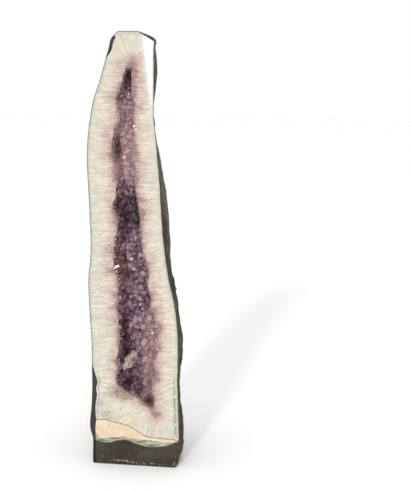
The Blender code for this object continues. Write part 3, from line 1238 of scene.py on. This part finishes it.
def facet_painted_glare(finish, colour):
    """Painted glare: the facet along the upper right edge is blended towards near white."""
    along = (FACET_FOOT - FACET_TOP).normalized()
    across = Vector((-along.z, 0.0, along.x))
    beyond = finish.add("VectorMath", (finish.place(), tuple(across)), 1, operation="DOT_PRODUCT")
    beyond = finish.plus(beyond, -across.dot(FACET_TOP - STONE_MIDDLE))
    ragged = finish.plus(beyond, finish.wander(0.010, 0.008, detail=3.0))
    # Painted glare: the facet's band is blended towards near white.
    return finish.blend(finish.rise(ragged, -0.008, 0.014, 0.0, 0.85), colour, FACET_GLARE_WHITE)


def iron_stain(finish, colour):
    """Rusty brown quartz along the foot of the hollow, where iron settled."""
    place = finish.stretched(finish.place(), STAIN_STRETCH)
    x, z = STAIN_PLACE
    off = finish.distance(place, (x * STAIN_STRETCH[0], stone_low.y, z * STAIN_STRETCH[2]))
    ragged = finish.plus(off, finish.wander(0.010, 0.050, detail=4.0))
    brown = finish.blend(finish.patches(0.004, 0.35, 0.65, detail=3.0), STAIN_DARK, STAIN_LIGHT)
    return finish.blend(finish.rise(ragged, 0.040, 0.014, 0.0, 0.95), colour, brown)


def edge_bands(finish, colour, to_edge, place, beside):
    """The grey-green line round the quartz and the second one low on its right."""
    wobble = finish.wander(0.012, 0.003)
    edge = finish.plus(to_edge, wobble)
    greyed = finish.blend(finish.rise(edge, 0.010, 0.001, 0.0, 0.55), colour, EDGE_GREY)
    lined = finish.blend(finish.rise(edge, 0.0026, 0.0014, 0.0, 0.85), greyed, EDGE_GREEN)
    low = finish.rise(place[2], 0.27, 0.19)
    right = finish.rise(place[0], 0.0, 0.01)
    inner = finish.times(finish.bump_line(edge, 0.0090, 0.0050), finish.times(low, right))
    inner = finish.times(inner, finish.patches(0.007, 0.36, 0.55))
    lined = finish.blend(finish.times(inner, 0.8), lined, INNER_GREEN)
    wave = finish.times(finish.bump_line(finish.plus(beside, wobble), 0.0050, 0.0022), low)
    return finish.blend(finish.times(wave, 0.85), lined, WAVE_GREEN)


print("iron stain at", STAIN_PLACE)

# %% [markdown]
# ## Agate at the foot
# Before the quartz grew, silica settled in the foot of the bubble as agate: one thick tan
# tongue, and beside it a small eye with rings. Voronoi cells or a wave pattern could give
# rings too, but the distance from one place, bent by noise, puts them where they belong.

# %% Agate
# Middles of the eye, the pink spot and the blue-grey patch: across and height
AGATE_SPOTS = ((-0.068, 0.121), (-0.086, 0.121), (-0.083, 0.152))
EYE_GREEN = (0.44, 0.47, 0.38)
EYE_RING = (0.18, 0.21, 0.17)
SPOT_PINK = (0.70, 0.53, 0.49)
SPOT_GREY = (0.42, 0.45, 0.44)
TAN = (0.80, 0.68, 0.50)
WARM_TAN = (0.77, 0.58, 0.38)
TAN_RUST = (0.66, 0.33, 0.11)
TAN_PIT = (0.22, 0.13, 0.07)
LAYER_DARK = (0.16, 0.17, 0.13)
LAYER_PALE = (0.50, 0.48, 0.38)
SEAM_GREEN = (0.11, 0.12, 0.09)


def agate_eye(finish, colour):
    """A small agate eye, a pink spot and a blue-grey patch at the lower left of the face."""
    place = finish.place()
    wobble = finish.wander(0.010, 0.034, detail=4.0, roughness=0.65)
    eye, pink, grey = [
        finish.plus(finish.distance(place, (x, stone_low.y, z)), wobble) for x, z in AGATE_SPOTS
    ]
    colour = finish.blend(finish.rise(grey, 0.014, 0.002, 0.0, 0.8), colour, SPOT_GREY)
    colour = finish.blend(finish.rise(pink, 0.011, 0.003, 0.0, 0.7), colour, SPOT_PINK)
    colour = finish.blend(finish.rise(eye, 0.014, 0.009, 0.0, 0.45), colour, EYE_GREEN)
    rings = finish.plus(finish.bump_line(eye, 0.0040, 0.0018), finish.bump_line(eye, 0.0110, 0.0020))
    return finish.blend(finish.times(rings, 0.50), colour, EYE_RING)


def tan_agate(finish, place):
    """The tongue of tan agate, with rusty patches at its left and a few dark pits."""
    tan = finish.blend(finish.patches(0.016, 0.35, 0.65, detail=3.0), TAN, WARM_TAN)
    on_left = finish.rise(place[0], 0.02, -0.06)
    rust = finish.times(finish.patches(0.0042, 0.60, 0.68, detail=3.0), on_left)
    tan = finish.blend(finish.times(rust, 0.8), tan, TAN_RUST)
    pits = finish.patches(0.0034, 0.70, 0.76, detail=1.0)
    return finish.blend(finish.times(pits, 0.7), tan, TAN_PIT)


def agate_band(finish, colour, foot, place):
    """The tan tongue, the green layers under it and the dark seam over it."""
    wobble = finish.wander(0.009, 0.004)
    top = finish.plus(foot[0], wobble)
    under_top = finish.rise(top, 0.0006, -0.0006)
    above_foot = finish.rise(finish.plus(foot[1], wobble), -0.0008, 0.0008)
    layers = finish.noise(0.0035, finish.stretched(finish.place(), (0.12, 1.0, 1.0)))
    green = finish.blend(finish.rise(layers, 0.38, 0.60), LAYER_DARK, LAYER_PALE)
    band = finish.blend(above_foot, green, tan_agate(finish, place))
    laid = finish.blend(under_top, colour, band)
    seam = finish.bump_line(top, 0.0006, 0.0022)
    return finish.blend(finish.times(seam, 0.85), laid, SEAM_GREEN)


print(len(AGATE_SPOTS), "agate spots beside the band")

# %% [markdown]
# ## Painted skin
# The raw outside of such a geode is crumbly basalt, so it is filled and brushed with a dark
# olive paint that dries nearly dull. It is paler and browner on the skin than on the face
# plane, partly as painted light for the brighter light on the back, and darker on the
# pebbly right side near the face, partly its own darker paint in the wrinkles and partly
# painted shade for the side that turns from the light. A few chips show the pale filler below.

# %% Painted skin
# Paint on the skin is paler than on the face plane, partly painted light for the brighter light on the
# back.
LIT_SKIN_PAINT = ((0.125, 0.110, 0.080), (0.175, 0.155, 0.115))
FACE_PLANE_PAINT = ((0.056, 0.048, 0.034), (0.080, 0.069, 0.049))
WRINKLE_PAINT_AND_SHADE = (0.050, 0.045, 0.030)
FILLER = ((0.66, 0.62, 0.44), (0.50, 0.45, 0.30))


def paint_colour(finish, wrinkled, chip, on_face):
    """Olive-brown paint, paler on the skin than on the face plane, partly as painted light, and darker
    on the pebbly right side, partly as painted shade, and its chips.
    """
    broad = finish.patches(0.11, 0.35, 0.65, detail=3.0, roughness=0.55)
    skin_paint = finish.blend(broad, *LIT_SKIN_PAINT)
    # Partly painted shade: the pebbly right side near the face is darkened, for its rougher paint and
    # for the shade it falls into.
    skin_paint = finish.blend(finish.times(wrinkled, 0.9), skin_paint, WRINKLE_PAINT_AND_SHADE)
    olive = finish.blend(on_face, skin_paint, finish.blend(broad, *FACE_PLANE_PAINT))
    blots = finish.patches(0.016, 0.40, 0.68, 1.05, 0.82, detail=4.0, roughness=0.6)
    specks = finish.patches(0.0016, 0.35, 0.55, 0.60, 1.0, detail=3.0, roughness=0.7)
    grains = finish.patches(0.0024, 0.55, 0.75, 1.0, 1.55, detail=3.0, roughness=0.7)
    for uneven in (blots, specks, grains):
        olive = finish.tint(olive, uneven)
    flaking = finish.noise(0.0045, detail=4.0, roughness=0.7)
    ragged = finish.plus(chip, finish.times(finish.plus(flaking, -0.42), 0.016))
    filler = finish.blend(finish.patches(0.05, 0.42, 0.52), *FILLER)
    return finish.blend(finish.rise(ragged, 0.0006, -0.0002), olive, filler)


# Thin paint here means the paler paint on the skin, partly painted light; thick paint is the darker
# paint on the face plane.
print("thin paint", LIT_SKIN_PAINT[0], "thick paint", FACE_PLANE_PAINT[0])

# %% [markdown]
# ## Where the paint lies on the face
# The brush went a little over the edges of the sawn face: across the foot, up the rough
# strip at the lower left, over the worn corner at the top right and down a thin sliver at
# the top left. Each of these is a mask, a smooth step on one distance, frayed by noise.

# %% Painted parts of the face
STRIP_BLACK = (0.014, 0.012, 0.008)


def face_paint(finish, foot, beside, to_edge, place):
    """Shares of paint on the face: over its foot, and in the black strokes at its edges."""
    across, _, up = place
    brushed = finish.wander(0.008, 0.005)
    over_foot = finish.rise(finish.plus(foot[2], brushed), 0.0008, -0.0008)
    over_strip = finish.rise(finish.plus(beside, finish.times(brushed, 0.5)), 0.0006, -0.0006)
    corner = finish.rise(finish.plus(up, finish.times(across, 0.6)), 1.0040, 1.0052)
    over_corner = finish.times(corner, finish.rise(across, 0.008, 0.012))
    sliver = finish.times(finish.rise(up, 0.935, 0.962), finish.rise(up, 0.992, 0.985))
    sliver = finish.times(sliver, finish.rise(across, -0.030, -0.034))
    over_sliver = finish.rise(finish.plus(to_edge, finish.times(sliver, -0.0075)), 0.0002, -0.0006)
    black = finish.maths("MAXIMUM", over_strip, finish.maths("MAXIMUM", over_corner, over_sliver))
    return over_foot, black


print("black strokes", STRIP_BLACK)

# %% [markdown]
# ## The stone in one finish
# Quartz and paint meet on the same mesh, so one net draws both and a mask picks between
# them. The quartz is polished and mirrors the room, and the paint is dull and crumbly. The
# share that mirrors is one plain value in a shader, so the same net is built twice, and
# the faces that are all paint take the duller copy.

# %% Finish of the stone
POLISH_ROUGHNESS = (0.17, 0.17, 0.17)
INSIDE_MAUVE = (0.34, 0.24, 0.30)
POLISHED_LEVEL = 0.5
PAINT_LEVEL = 0.07


def stone_finish(name, specular):
    """Polished quartz on the sawn face and paint everywhere else, with one specular level."""
    finish = Finish(name)
    to_mouth, to_edge, kind = finish.stored("rim")
    foot = finish.stored("foot")
    wrinkled, chip, beside = finish.stored("paint")
    place = finish.axes(finish.place())
    broad, narrow = fibres_of(finish)
    face = quartz_colour(finish, to_mouth, broad, narrow)
    # Painted glare on the ground facet, blended towards near white.
    face = facet_painted_glare(finish, face)
    face = iron_stain(finish, face)
    face = edge_bands(finish, face, to_edge, place, beside)
    face = agate_eye(finish, face)
    face = agate_band(finish, face, foot, place)

    over_foot, black = face_paint(finish, foot, beside, to_edge, place)
    painted = finish.maths("MAXIMUM", over_foot, black)
    painted = finish.maths("MAXIMUM", painted, finish.rise(kind, 0.60, 0.45))
    on_face = finish.rise(kind, 0.0, 0.3)
    black = finish.times(finish.times(black, on_face), 0.8)
    paint = finish.blend(black, paint_colour(finish, wrinkled, chip, on_face), STRIP_BLACK)
    colour = finish.blend(painted, face, paint)
    colour = finish.blend(finish.rise(kind, 1.3, 1.7), colour, INSIDE_MAUVE)

    crumbs = finish.noise(0.0060, detail=4.0, roughness=0.6)
    surface = finish.blend(painted, finish.times(narrow, 0.03), crumbs)
    finish.set(
        Base_Color=colour,
        Roughness=finish.blend(painted, POLISH_ROUGHNESS, finish.patches(0.03, 0.3, 0.7, 0.45, 0.65)),
        Specular_IOR_Level=specular,
        Normal=finish.bumps(surface, 0.0022, 0.8),
    )
    return finish.material


stone_material = stone_finish("sawn_stone", POLISHED_LEVEL)
paint_material = stone_finish("painted_stone", PAINT_LEVEL)
stone_mesh.materials.append(stone_material)
stone_mesh.materials.append(paint_material)
above_paint = [item.vector.z for item in stone_mesh.attributes["foot"].data]
for face in stone_mesh.polygons:
    painted = all(stone_kinds[i] < 0.5 or above_paint[i] < 0.0 for i in face.vertices)
    face.material_index = 1 if painted else 0
print("stone finish uses", len(stone_material.node_tree.nodes), "nodes")

# %% [markdown]
# ## Amethyst
# Amethyst is clear quartz with a trace of iron, so light goes in, is tinted on its way and
# comes out elsewhere. The shader lets a share of the light through at quartz's own bend of
# 1.54, and the volume takes out green and leaves violet. The rest of the light meets the
# milky colour of the points, painted pale at their tips as painted light and dark down
# between them as painted shade.

# %% Amethyst finish
QUARTZ_IOR = 1.54
CLEAR_SHARE = 0.28
VOLUME_VIOLET = (0.72, 0.42, 0.62, 1.0)
VOLUME_DENSITY = 60.0
POINT_COLOURS = ((0.25, 0.095, 0.145), (0.88, 0.56, 0.65))
DRIFT_VIOLET = (0.42, 0.26, 0.42)
PALE_AND_LIT_MAUVE = (1.0, 0.66, 0.66)
RUSTY_QUARTZ = (0.66, 0.38, 0.27)
POCKET_SHADE_VIOLET = (0.09, 0.04, 0.05)
RIM_MAUVE = (0.52, 0.36, 0.34)


def amethyst_finish():
    """Clear and milky violet quartz, with a region, a shade, painted pocket shade and painted tip light
    and gap shade at each place.
    """
    finish = Finish("amethyst")
    light, rusty, pocket_shade = finish.stored("region")
    shade = finish.stored_number("shade")
    behind_face = finish.plus(finish.axes(finish.place())[1], -stone_low.y)
    # The shade gives each point its own tone and, per face, painted light and shade.
    violet = finish.blend(finish.rise(shade, 0.15, 0.80), *POINT_COLOURS)
    violet = finish.blend(finish.patches(0.022, 0.35, 0.65, 0.0, 0.5), violet, DRIFT_VIOLET)
    # Pale mauve: above the middle a paler colour, low on the right painted light on the lit wall.
    violet = finish.blend(finish.times(light, 0.82), violet, PALE_AND_LIT_MAUVE)
    violet = finish.blend(finish.times(rusty, 0.70), violet, RUSTY_QUARTZ)
    # Painted shade: the pockets among the points are darkened nearly to black.
    violet = finish.blend(finish.times(pocket_shade, 0.80), violet, POCKET_SHADE_VIOLET)
    veils = finish.patches(0.0022, 0.3, 0.7, 0.85, 1.12, detail=3.0, roughness=0.6)
    # Painted light and shade: points are made up to 2.4 times lighter at their tips and down to 0.62 as
    # dark in the gaps between them.
    tip_light_gap_tint = finish.rise(finish.stored_number("tip_light_and_gap_shade"), 0.30, 1.10, 2.40, 0.62)
    # The shade's tint also carries the painted light and shade of each face.
    for uneven in (veils, tip_light_gap_tint, finish.rise(shade, 0.10, 0.90, 0.72, 1.44)):
        violet = finish.tint(violet, uneven)
    violet = finish.blend(finish.rise(behind_face, 0.0, 0.013, 0.85, 0.0), violet, RIM_MAUVE)
    finish.set(
        Base_Color=violet,
        Roughness=0.08,
        IOR=QUARTZ_IOR,
        Transmission_Weight=CLEAR_SHARE,
        Normal=finish.bumps(finish.noise(0.0016), 0.0002, 0.5),
    )
    absorbed = finish.tree.nodes.new("ShaderNodeVolumeAbsorption")
    absorbed.inputs["Color"].default_value = VOLUME_VIOLET
    absorbed.inputs["Density"].default_value = VOLUME_DENSITY
    finish.fill(finish.tree.nodes["Material Output"].inputs["Volume"], absorbed.outputs[0])
    return finish.material


amethyst_material = amethyst_finish()
print("amethyst bends light by", QUARTZ_IOR, "and is clear by", CLEAR_SHARE)

# %% [markdown]
# ## Calcite
# Calcite grew last, over some of the points, as rounded beige lumps and one white flake. It
# is drawn as a plain sugary mineral with grime in its hollows. The shade stored on each
# face tells the two apart: the lumps have one value below zero and the flake a lower one.

# %% Calcite finish
CALCITE_BEIGE = (0.62, 0.52, 0.43)
CALCITE_GRIME = (0.26, 0.19, 0.13)
FLAKE_WHITE = (0.95, 0.90, 0.86)


def calcite_finish():
    """Pale beige calcite, faintly sugary, with darker grime in its hollows."""
    finish = Finish("calcite")
    grime = finish.patches(0.007, 0.48, 0.66, 0.0, 0.75, detail=4.0)
    beige = finish.blend(grime, CALCITE_BEIGE, CALCITE_GRIME)
    is_flake = finish.rise(finish.stored_number("shade"), -2.4, -2.6)
    sugar = finish.noise(0.0012, detail=3.0, roughness=0.7)
    colour = finish.blend(is_flake, beige, FLAKE_WHITE)
    finish.set(
        Base_Color=finish.tint(colour, finish.rise(sugar, 0.3, 0.7, 0.85, 1.15)),
        Roughness=finish.rise(sugar, 0.3, 0.7, 0.30, 0.60),
        Normal=finish.bumps(sugar, 0.0005, 0.8),
    )
    return finish.material


calcite_material = calcite_finish()
print("calcite finish uses", len(calcite_material.node_tree.nodes), "nodes")

# %% [markdown]
# ## Pale, rusty and dark places
# The crust isn't one violet. It is pale mauve above its middle, and pale mauve low on its
# right, where the pale is painted light on the wall that the light from the left falls on.
# It is rusty along its left side, and painted nearly black as painted shade in a few
# pockets. These places are marked on the mesh, as painted weights would be, but from a few
# named rows, so they can be changed.

# %% Regions of the crust
# Pockets among the points, painted nearly black as shade: across, height, half width, half height
SHADED_POCKETS = (
    (-0.040, 0.752, 0.006, 0.024),
    (-0.010, 0.605, 0.026, 0.045),
    (-0.026, 0.187, 0.014, 0.014),
    (0.030, 0.150, 0.014, 0.016),
    (-0.008, 0.905, 0.013, 0.020),
    (-0.030, 0.330, 0.006, 0.040),
    (-0.022, 0.262, 0.012, 0.016),
)
PALE_FROM, PALE_TO = 0.655, 0.865
# Height, and how far across the pale quartz starts or the rusty quartz ends; the pale quartz
# low on the right is painted light on the lit wall
PALE_AND_LIT_EDGE = (
    (0.150, 0.030),
    (0.165, 0.012),
    (0.200, 0.003),
    (0.270, 0.000),
    (0.320, 0.004),
    (0.380, 0.020),
    (0.420, 0.050),
)
RUST_EDGE = (
    (0.290, -0.060),
    (0.310, -0.034),
    (0.370, -0.032),
    (0.400, -0.036),
    (0.440, -0.030),
    (0.520, -0.034),
    (0.560, -0.060),
)


def beyond_edge(edge, point):
    """How far right of an edge a place is, or nothing above and below the edge's ends."""
    if edge[0][0] < point.z < edge[-1][0]:
        return point.x - between(edge, point.z)[0]
    return None


def region_of(point):
    """How much a place in the hollow is pale mauve (low on the right, painted light), rusty, or in a
    pocket of painted shade: 0 to 1 each.
    """
    light = smooth_step((point.z - PALE_FROM) / 0.03) * smooth_step((PALE_TO - point.z) / 0.03)
    # Painted light: low on the right, the wall that the light falls on is made pale.
    beyond = beyond_edge(PALE_AND_LIT_EDGE, point)
    if beyond is not None:
        light = max(light, smooth_step(beyond / 0.012))
    beyond = beyond_edge(RUST_EDGE, point)
    rusty = 0.0 if beyond is None else smooth_step(-beyond / 0.010 + 0.5)
    pocket_shade = 0.0
    # Painted shade in the pockets among the points.
    for x, z, half_width, half_height in SHADED_POCKETS:
        off = math.hypot((point.x - x) / half_width, (point.z - z) / half_height)
        pocket_shade = max(pocket_shade, smooth_step(1.5 - off))
    return light, rusty, pocket_shade


def painted_tip_gap_share(point):
    """0 at the tip of a quartz point and 1 or more between the points, read for painted light at the
    tips and painted shade between them.
    """
    _, number, off = tip_tree.find(point)
    return min(off / (2.0 * tips[number][1]), 1.5)


tip_tree = KDTree(len(tips))
for number, (tip, radius) in enumerate(tips):
    tip_tree.insert(tip, number)
tip_tree.balance()
# Stored for the painted light at the tips and the painted shade between the points.
tip_light_and_gap_shade = crust_mesh.attributes.new("tip_light_and_gap_shade", "FLOAT", "POINT")
tip_light_and_gap_shade.data.foreach_set("value", [painted_tip_gap_share(vertex.co) for vertex in crust_mesh.vertices])
write_vectors(crust_mesh, "region", [region_of(vertex.co) for vertex in crust_mesh.vertices])
print(len(SHADED_POCKETS), "dark pockets,", len(tips), "tips")

# %% [markdown]
# ## Finishes on the crust
# The crust is one mesh with three finishes: amethyst on the points, calcite on what was
# joined in with a shade below zero, and the sawn quartz wherever the saw left a flat.

# %% Faces of the crust
crust_mesh.materials.clear()
for material in (amethyst_material, stone_material, calcite_material):
    crust_mesh.materials.append(material)
shades = crust_mesh.attributes["shade"].data
sawn = 0
for face in crust_mesh.polygons:
    on_face = abs(face.center.y - FACE_Y) < 2 * SEAM and face.normal.y < -0.9
    face.material_index = 1 if on_face else 0
    if shades[face.index].value < CALCITE_SHADE / 2:
        face.material_index = 2
    sawn += on_face
print(sawn, "sawn faces on the crust")

# %% [markdown]
# ## Into the frame
# The sizes above have their own starting point, and the frame's origin is under the middle
# of the whole stone, so both meshes are moved once. Each then takes the place of its solid.
# The stone is shaded smooth but for its sawn edges, and the crystals' faces stay flat.

# %% Into the frame
for piece, node, slot_name in ((stone, "geode_body", "stone"), (crust, "amethyst_crust", "amethyst")):
    piece.data.transform(Matrix.Translation(-STONE_MIDDLE))
    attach(piece, "root")
    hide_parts(node)
stone_mesh.shade_smooth()
stone_mesh.set_sharp_from_angle(angle=math.radians(40))
crust_mesh.shade_flat()

# %% [markdown]
# ## Floor and light
# The stone stands on a plain white floor. A broad soft light from above whitens the floor,
# a firmer one from the front left fills the hollow, and a tall narrow one beside the camera
# gives the points their glints and adds to the ground facet's white glare, which is also
# painted on as a painted highlight. The sky is brightest low down and to the left, so that
# the stone's right side falls into shade.

# %% Floor and lights
FLOOR_REACH = 12.0
# Where the sky's strength starts and ends to fall, upwards and from left to right, and the
# strength before and after
SKY_FALL = (0.09, 0.24, 1.0, 0.26)
SKY_SIDE = (0.30, 0.70, 1.0, 0.30)


def make_floor():
    mesh = bpy.data.meshes.new("floor")
    corners = [(x * FLOOR_REACH, y * FLOOR_REACH, 0.0) for x, y in ((-1, -1), (1, -1), (1, 1), (-1, 1))]
    mesh.from_pydata(corners, [], [(0, 1, 2, 3)])
    floor = add_object("floor", mesh)
    finish = Finish("white_floor")
    white = finish.blend(finish.noise(0.4), (0.93, 0.93, 0.93), (0.96, 0.96, 0.96))
    finish.set(Base_Color=white, Roughness=0.9)
    mesh.materials.append(finish.material)


def add_sun(name, azimuth, elevation, strength, softness):
    data = bpy.data.lights.new(name, "SUN")
    data.energy = strength
    data.angle = math.radians(softness)
    sun = add_object(name, data)
    sun.rotation_euler = Euler((math.radians(90.0 - elevation), 0.0, math.radians(azimuth)))


def add_panel(name, place, aim, size, power):
    data = bpy.data.lights.new(name, "AREA")
    data.shape = "RECTANGLE"
    data.size, data.size_y = size
    data.energy = power
    aimed = (Vector(aim) - Vector(place)).to_track_quat("-Z", "Y").to_matrix().to_4x4()
    add_object(name, data).matrix_world = Matrix.Translation(place) @ aimed


def make_world():
    world = bpy.data.worlds.new("pale_room")
    bpy.context.scene.world = world
    world.use_nodes = True
    tree = world.node_tree
    background = tree.nodes["Background"]
    background.inputs["Color"].default_value = (1.0, 1.0, 1.0, 1.0)
    coordinates = tree.nodes.new("ShaderNodeTexCoord")
    split = tree.nodes.new("ShaderNodeSeparateXYZ")
    tree.links.new(coordinates.outputs["Generated"], split.inputs[0])
    strength = tree.nodes.new("ShaderNodeMath")
    strength.operation = "MULTIPLY"
    for number, (axis, levels) in enumerate(((2, SKY_FALL), (0, SKY_SIDE))):
        fall = tree.nodes.new("ShaderNodeMapRange")
        fall.interpolation_type = "SMOOTHSTEP"
        for socket, value in zip(fall.inputs[1:5], levels):
            socket.default_value = value
        tree.links.new(split.outputs[axis], fall.inputs[0])
        tree.links.new(fall.outputs[0], strength.inputs[number])
    tree.links.new(strength.outputs[0], background.inputs["Strength"])


make_floor()
make_world()
add_sun("overhead", azimuth=0.0, elevation=88.0, strength=2.22, softness=60.0)
add_sun("key", azimuth=-12.0, elevation=30.0, strength=0.88, softness=6.0)
add_panel("strip", place=(0.56, -2.15, 1.00), aim=(0.03, FACE_Y, 0.90), size=(0.16, 1.3), power=8.5)
bpy.context.scene.view_settings.view_transform = "Standard"

# %% [markdown]
# ## Sizes of the dressed pieces
# The box round the dressed pieces should be nearly the same as the box round the solids,
# since a mesh that stands far out of its solid would meet other things where the solid does
# not.
